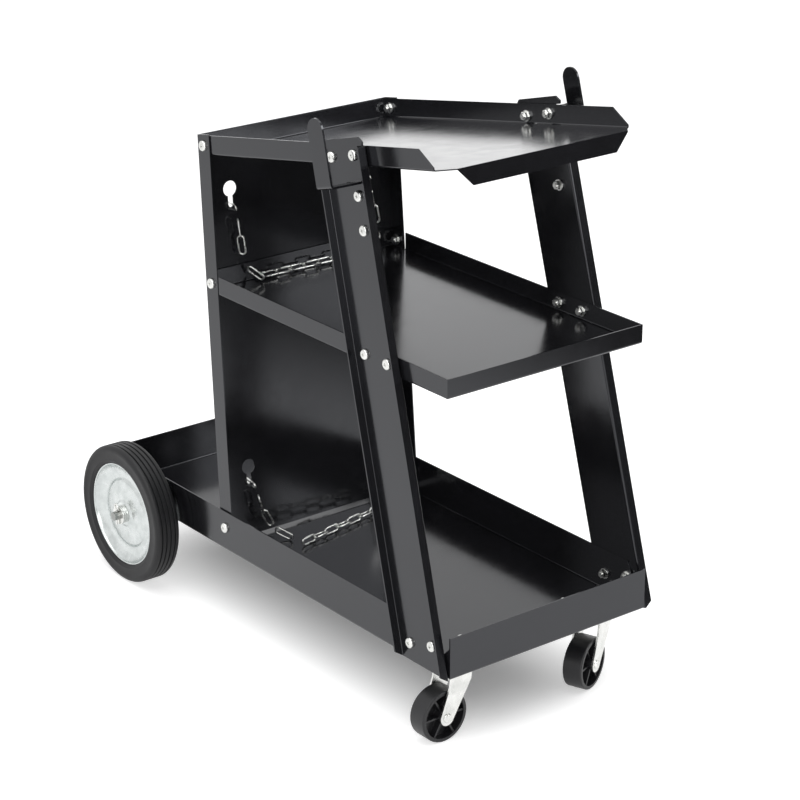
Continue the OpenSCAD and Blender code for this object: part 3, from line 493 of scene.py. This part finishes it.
for side in SIDES:
    make_wheel(side)


# The cross recess of a head: its span, the width of its slots, its depth, and how far it narrows inwards
CROSS_SPAN, CROSS_SLOT, CROSS_DEPTH, CROSS_TAPER = 6 * MM, 1.3 * MM, 1.6 * MM, 0.55


def recessed(mesh):
    """Cuts a cross recess into a head."""
    head = bpy.data.objects.new("head", mesh)
    bpy.context.scene.collection.objects.link(head)
    tool = bmesh.new()
    for turned in (0, pi / 2):
        made = bmesh.ops.create_cube(tool, size=1.0)["verts"]
        bmesh.ops.scale(tool, vec=(CROSS_SPAN, CROSS_SLOT, 2 * CROSS_DEPTH), verts=made)
        bmesh.ops.rotate(tool, cent=(0, 0, 0), matrix=Matrix.Rotation(turned, 3, "Z"), verts=made)
        bmesh.ops.translate(tool, vec=(0, 0, HEAD_H), verts=made)
        for vert in made:
            if vert.co.z < HEAD_H:
                vert.co.x *= CROSS_TAPER
                vert.co.y *= CROSS_TAPER
    cross = bpy.data.meshes.new("cross")
    tool.to_mesh(cross)
    tool.free()
    cutter = bpy.data.objects.new("cutter", cross)
    bpy.context.scene.collection.objects.link(cutter)
    cut = head.modifiers.new("recess", "BOOLEAN")
    cut.object = cutter
    cut.operation = "DIFFERENCE"
    cut.solver = "EXACT"
    cut.use_self = True
    done = evaluated(head)
    bpy.data.objects.remove(head)
    bpy.data.objects.remove(cutter)
    smooth_by_angle(done, TURNED_ANGLE)
    return done


def bolt_head():
    """Pan head with a cross recess, seat on z = 0, standing towards +Z."""
    rounding = 2.6 * MM
    crown = arc(HEAD_R - rounding, HEAD_H - rounding, rounding, 88, 4, 7)
    profile = [(0.0, HEAD_H)] + crown + [(HEAD_R, 0.25 * MM), (HEAD_R - 0.3 * MM, 0.0), (0.0, 0.0)]
    shell = bmesh.new()
    rings = []
    for r, z in profile:
        turns = [2 * pi * k / HEAD_STEPS for k in range(HEAD_STEPS if r else 1)]
        rings.append([shell.verts.new((r * cos(t), r * sin(t), z)) for t in turns])
    for a, b in zip(rings, rings[1:]):
        for k in range(HEAD_STEPS):
            m = (k + 1) % HEAD_STEPS
            corners = [a[k % len(a)], b[k % len(b)], b[m % len(b)], a[m % len(a)]]
            shell.faces.new(list(dict.fromkeys(corners)))
    bmesh.ops.recalc_face_normals(shell, faces=shell.faces)
    mesh = bpy.data.meshes.new("bolt_head")
    shell.to_mesh(mesh)
    shell.free()
    return recessed(mesh)


def stacked(name, levels, steps, sharp):
    """A closed solid through even rings of (radius, height), with edges over this angle left sharp."""
    turns = [2 * pi * k / steps for k in range(steps)]
    shell = bmesh.new()
    rings = [[shell.verts.new((r * cos(t), r * sin(t), z)) for t in turns] for r, z in levels]
    for a, b in zip(rings, rings[1:]):
        for k in range(steps):
            m = (k + 1) % steps
            shell.faces.new([a[k], a[m], b[m], b[k]])
    shell.faces.new(rings[0][::-1])
    shell.faces.new(rings[-1])
    mesh = bpy.data.meshes.new(name)
    shell.to_mesh(mesh)
    shell.free()
    smooth_by_angle(mesh, sharp)
    return mesh


def nut_and_washer():
    """Flat washer and chamfered hexagon nut, seat on z = 0, standing towards +Z."""
    rounding, chamfer = 0.15 * MM, 0.8 * MM
    washer = stacked("washer", [(WASHER_R, 0.0), (WASHER_R, WASHER_T - rounding),
                                (WASHER_R - rounding, WASHER_T)], HEAD_STEPS, TURNED_ANGLE)
    corner, crown = NUT_AF / 2 / cos(pi / 6), NUT_AF / 2 - 0.2 * MM
    nut = stacked("nut", [(corner, WASHER_T), (corner, WASHER_T + NUT_H - chamfer),
                          (crown, WASHER_T + NUT_H)], 6, NUT_ANGLE)
    return joined("nut_and_washer", [nut, washer])


HEAD, NUT = bolt_head(), nut_and_washer()
# One metre long, and stretched to each bolt's own length
SHANK = stacked("shank", [(BOLT_R, 0.0), (BOLT_R, 1.0)], SHANK_STEPS, TURNED_ANGLE)
# Each head's recess and each nut stands turned this much further than the one before, in radians
HEAD_TURN, NUT_TURN = 0.7, 0.45


def make_bolts(node, way):
    """Heads and shanks of a node's bolts; way gives the direction of each head from its place."""
    heads, shanks = [], []
    for k, points in enumerate(islands(node)):
        axis = np.array(way(points.mean(0)), float)
        along = points @ axis
        middle = (points.min(0) + points.max(0)) / 2
        top, low = along.max(), along.min()
        seat = Vector(middle - axis * (middle @ axis) + axis * (top - HEAD_H))
        foot = Vector(middle - axis * (middle @ axis) + axis * low)
        quat = Vector(axis).to_track_quat("Z", "Y")
        spun = quat @ Euler((0, 0, k * HEAD_TURN)).to_quaternion()
        heads.append((seat, spun.to_euler(), (1, 1, 1)))
        shanks.append((foot, quat.to_euler(), (1, 1, (top - low) - 0.5 * HEAD_H)))
    mesh = joined(node, [copies(HEAD, heads, ZINC), copies(SHANK, shanks, ZINC)])
    show(node + "_panhead", mesh, ZINC, NODES[node]["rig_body"], [node])


def make_nuts(node, way):
    """Washers and nuts of a node; way gives the direction in which each stands off its seat."""
    spots = []
    for k, points in enumerate(islands(node)):
        axis = np.array(way(points.mean(0)), float)
        middle = (points.min(0) + points.max(0)) / 2
        low = (points @ axis).min()
        seat = Vector(middle - axis * (middle @ axis) + axis * low)
        spun = Vector(axis).to_track_quat("Z", "Y") @ Euler((0, 0, k * NUT_TURN)).to_quaternion()
        spots.append((seat, spun.to_euler(), (1, 1, 1)))
    mesh = copies(NUT, spots, ZINC)
    show(node + "_hexagon", mesh, ZINC, NODES[node]["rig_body"], [node])


def sideways(middle):
    """Away from the cart's middle plane."""
    return (0, 1 if middle[1] > 0 else -1, 0)


def inwards(middle):
    """Towards the cart's middle plane."""
    return (0, -1 if middle[1] > 0 else 1, 0)


def down(middle):
    """Towards the ground, for a bolt whose head is below."""
    return (0, 0, -1)


def up(middle):
    """Away from the ground, for a nut on the tray's floor."""
    return (0, 0, 1)


for side in SIDES:
    make_bolts("leg_bolts_" + side, sideways)
    make_nuts("leg_nuts_" + side, inwards)
make_bolts("panel_bolts", sideways)
make_nuts("panel_nuts", inwards)
for group in ("caster", "saddle"):
    make_bolts(group + "_bolts", down)
    make_nuts(group + "_nuts", up)


def chain_link():
    """A long welded link of round wire, standing along Z in the XZ plane."""
    r = (LINK_W - WIRE) / 2
    straight = LINK_P / 2 + WIRE / 2 - r
    bend, around = 9, 10
    path = [(r * cos(a), straight + r * sin(a)) for a in np.linspace(0, pi, bend)]
    path += [(-x, -z) for x, z in path]
    count = len(path)
    points, faces = [], []
    for k, (x, z) in enumerate(path):
        before, after = Vector(path[k - 1]), Vector(path[(k + 1) % count])
        run = (after - before).normalized()
        side = Vector((run.y, -run.x))
        for j in range(around):
            a = 2 * pi * j / around
            points.append((x + side.x * WIRE / 2 * cos(a), WIRE / 2 * sin(a), z + side.y * WIRE / 2 * cos(a)))
    for k in range(count):
        n = (k + 1) % count
        for j in range(around):
            m = (j + 1) % around
            faces.append((k * around + j, k * around + m, n * around + m, n * around + j))
    mesh = outward_mesh("link", points, faces)
    mesh.polygons.foreach_set("use_smooth", [True] * len(mesh.polygons))
    return mesh


LINK = chain_link()


def make_chain(node):
    """A smooth link in the place of each solid link of the CAD chain."""
    spots = []
    for points in islands(node):
        middle = points.mean(0)
        spread = np.linalg.svd(points - middle, full_matrices=False)[2]
        long, wide = spread[0], spread[1]
        thin = np.cross(long, wide)
        turn = Matrix((wide, thin, long)).transposed()
        spots.append((middle, turn.to_euler(), (1, 1, 1)))
    show(node + "_welded", copies(LINK, spots, ZINC), ZINC, "trolley", [node])


make_chain("chain_upper")
make_chain("chain_lower")


# Painted reflection: only the mirrors see the paper darken between these distances on the far side, in metres
MIRROR_DARKEN_START, MIRROR_DARKEN_END = 0.5, 1.0
# How bright the mirrors see the paper, and the painted dark beyond it
PAPER_IN_MIRRORS, PAINTED_DARK_IN_MIRRORS = 0.85, 0.05
# Half the length and width of the painted shadow in the paper's glow under the cart, and how far out it fades
SHADE_X, SHADE_Y, SHADE_FADE = 0.26, 0.02, 0.16
# The paper's own glow under the cart, dimmed there as a painted shadow, and away from it
SHADE_GLOW, PAPER_GLOW = 0.13, 0.6


def studio_floor():
    """White paper that keeps the cart's shadow. Its own glow, dimmed under the cart as a painted shadow,
    reaches only the camera and the mirrors, and as a painted reflection the mirrors see it darken on the far
    side."""
    half = 9
    mesh = bpy.data.meshes.new("studio_floor")
    mesh.from_pydata([(-half, -half, 0), (half, -half, 0), (half, half, 0), (-half, half, 0)], [],
                     [(0, 1, 2, 3)])
    floor = bpy.data.objects.new("studio_floor", mesh)
    bpy.context.scene.collection.objects.link(floor)
    paper, tree, place = new_material("white_studio_paper")
    path = add(tree, "ShaderNodeLightPath").outputs
    seen = add(tree, "ShaderNodeMath", {0: path["Is Camera Ray"], 1: path["Is Glossy Ray"]},
               operation="MAXIMUM")
    across = add(tree, "ShaderNodeSeparateXYZ", {0: place}).outputs["Y"]
    # Painted reflection: the paper is darker towards the cart's far side for mirror rays only
    painted_dark_in_mirrors = add(tree, "ShaderNodeMapRange", {"Value": across},
                     {"From Min": MIRROR_DARKEN_START, "From Max": MIRROR_DARKEN_END,
                      "To Min": PAPER_IN_MIRRORS, "To Max": PAINTED_DARK_IN_MIRRORS},
                     interpolation_type="SMOOTHSTEP")
    mirrored = add(tree, "ShaderNodeMix", {"Factor": path["Is Glossy Ray"], "B": painted_dark_in_mirrors.outputs[0]},
                   {"A": 1.0})
    away = add(tree, "ShaderNodeVectorMath", {0: place}, {1: (0, 0, 0)}, operation="ABSOLUTE")
    beyond = add(tree, "ShaderNodeVectorMath", {0: away.outputs[0]}, {1: (SHADE_X, SHADE_Y, 0)},
                 operation="SUBTRACT")
    outside = add(tree, "ShaderNodeVectorMath", {0: beyond.outputs[0]}, {1: (0, 0, 0)}, operation="MAXIMUM")
    reach = add(tree, "ShaderNodeVectorMath", {0: outside.outputs[0]}, operation="LENGTH")
    # Painted shadow: the paper's glow is weaker under the cart
    glow_with_painted_shadow = add(tree, "ShaderNodeMapRange", {"Value": reach.outputs["Value"]},
                  {"From Min": 0.0, "From Max": SHADE_FADE, "To Min": SHADE_GLOW, "To Max": PAPER_GLOW},
                  interpolation_type="SMOOTHSTEP")
    strength = add(tree, "ShaderNodeMath", {0: glow_with_painted_shadow.outputs[0], 1: seen.outputs[0]}, operation="MULTIPLY")
    dimmed = add(tree, "ShaderNodeMath", {0: strength.outputs[0], 1: mirrored.outputs[0]},
                 operation="MULTIPLY")
    fibre = add(tree, "ShaderNodeTexNoise", {"Vector": place}, {"Scale": per_metre(333.3), "Detail": 2.0})
    white = add(tree, "ShaderNodeValToRGB", {"Fac": fibre.outputs["Fac"]},
                stops=[(0.3, linear("#ebebeb")), (0.7, linear("#eeeeee"))])
    colour = add(tree, "ShaderNodeVectorMath", {0: white.outputs["Color"], "Scale": mirrored.outputs[0]},
                 operation="SCALE")
    matt = add(tree, "ShaderNodeBsdfDiffuse", {"Color": colour.outputs[0]})
    glow = add(tree, "ShaderNodeEmission", {"Strength": dimmed.outputs[0]}, {"Color": (1, 1, 1, 1)})
    both = add(tree, "ShaderNodeAddShader", {0: matt.outputs[0], 1: glow.outputs[0]})
    add(tree, "ShaderNodeOutputMaterial", {"Surface": both.outputs[0]})
    mesh.materials.append(paper)


def softbox(name, place, target, width, height, watts):
    """A rectangular lamp that faces its target."""
    data = bpy.data.lights.new(name, "AREA")
    data.shape = "RECTANGLE"
    data.size, data.size_y = width, height
    data.energy = watts
    lamp = bpy.data.objects.new(name, data)
    bpy.context.scene.collection.objects.link(lamp)
    lamp.location = place
    lamp.rotation_euler = (Vector(target) - Vector(place)).to_track_quat("-Z", "Y").to_euler()


def side_glow(tree, towards, side, start, full, low, high):
    """A brightness that goes from low to high as the mirror's look turns towards one side of the room."""
    facing = add(tree, "ShaderNodeVectorMath", {0: towards}, {1: side}, operation="DOT_PRODUCT")
    return add(tree, "ShaderNodeMapRange", {"Value": facing.outputs["Value"]},
               {"From Min": start, "From Max": full, "To Min": low, "To Max": high},
               interpolation_type="SMOOTHSTEP").outputs[0]


def studio_world():
    """An even soft light. The camera sees white, and the mirrors alone see a painted room: a lit backdrop
    behind the cart's rear corner, a dark side to the front of it, and a painted lamp high up on that side,
    which lights nothing."""
    world = bpy.data.worlds.new("studio")
    bpy.context.scene.world = world
    world.use_nodes = True
    tree = world.node_tree
    tree.nodes.clear()
    path = add(tree, "ShaderNodeLightPath").outputs
    towards = add(tree, "ShaderNodeTexCoord").outputs["Generated"]
    room = side_glow(tree, towards, (0.81, 0.58, 0.0), 0.35, 0.8, 1.0, 0.08)
    backdrop = side_glow(tree, towards, (-0.82, 0.57, 0.04), 0.92, 0.985, 0.0, 0.8)
    # Painted highlight: a bright patch seen only in the mirrors, which lights nothing
    lamp = side_glow(tree, towards, (0.67, 0.57, 0.47), 0.95, 0.98, 0.0, 5.5)
    lit = add(tree, "ShaderNodeMath", {0: backdrop, 1: lamp}, operation="ADD")
    mirrored = add(tree, "ShaderNodeMath", {0: room, 1: lit.outputs[0]}, operation="ADD")
    soft = add(tree, "ShaderNodeBackground", values={"Color": (1, 1, 1, 1), "Strength": 0.55})
    white = add(tree, "ShaderNodeBackground", values={"Color": (1, 1, 1, 1), "Strength": 1.0})
    studio = add(tree, "ShaderNodeBackground", {"Strength": mirrored.outputs[0]}, {"Color": (1, 1, 1, 1)})
    glossy = add(tree, "ShaderNodeMixShader",
                 {0: path["Is Glossy Ray"], 1: soft.outputs[0], 2: studio.outputs[0]})
    mixed = add(tree, "ShaderNodeMixShader",
                {0: path["Is Camera Ray"], 1: glossy.outputs[0], 2: white.outputs[0]})
    add(tree, "ShaderNodeOutputWorld", {"Surface": mixed.outputs[0]})


studio_floor()
studio_world()
softbox("overhead_softbox", (0.4, -0.2, 2.6), (0, 0, 0.2), 2.4, 2.4, 38)
softbox("camera_side_softbox", (2.6, -2.2, 1.6), (0, 0, 0.3), 1.6, 1.6, 22)
bpy.context.scene.view_settings.view_transform = "Standard"
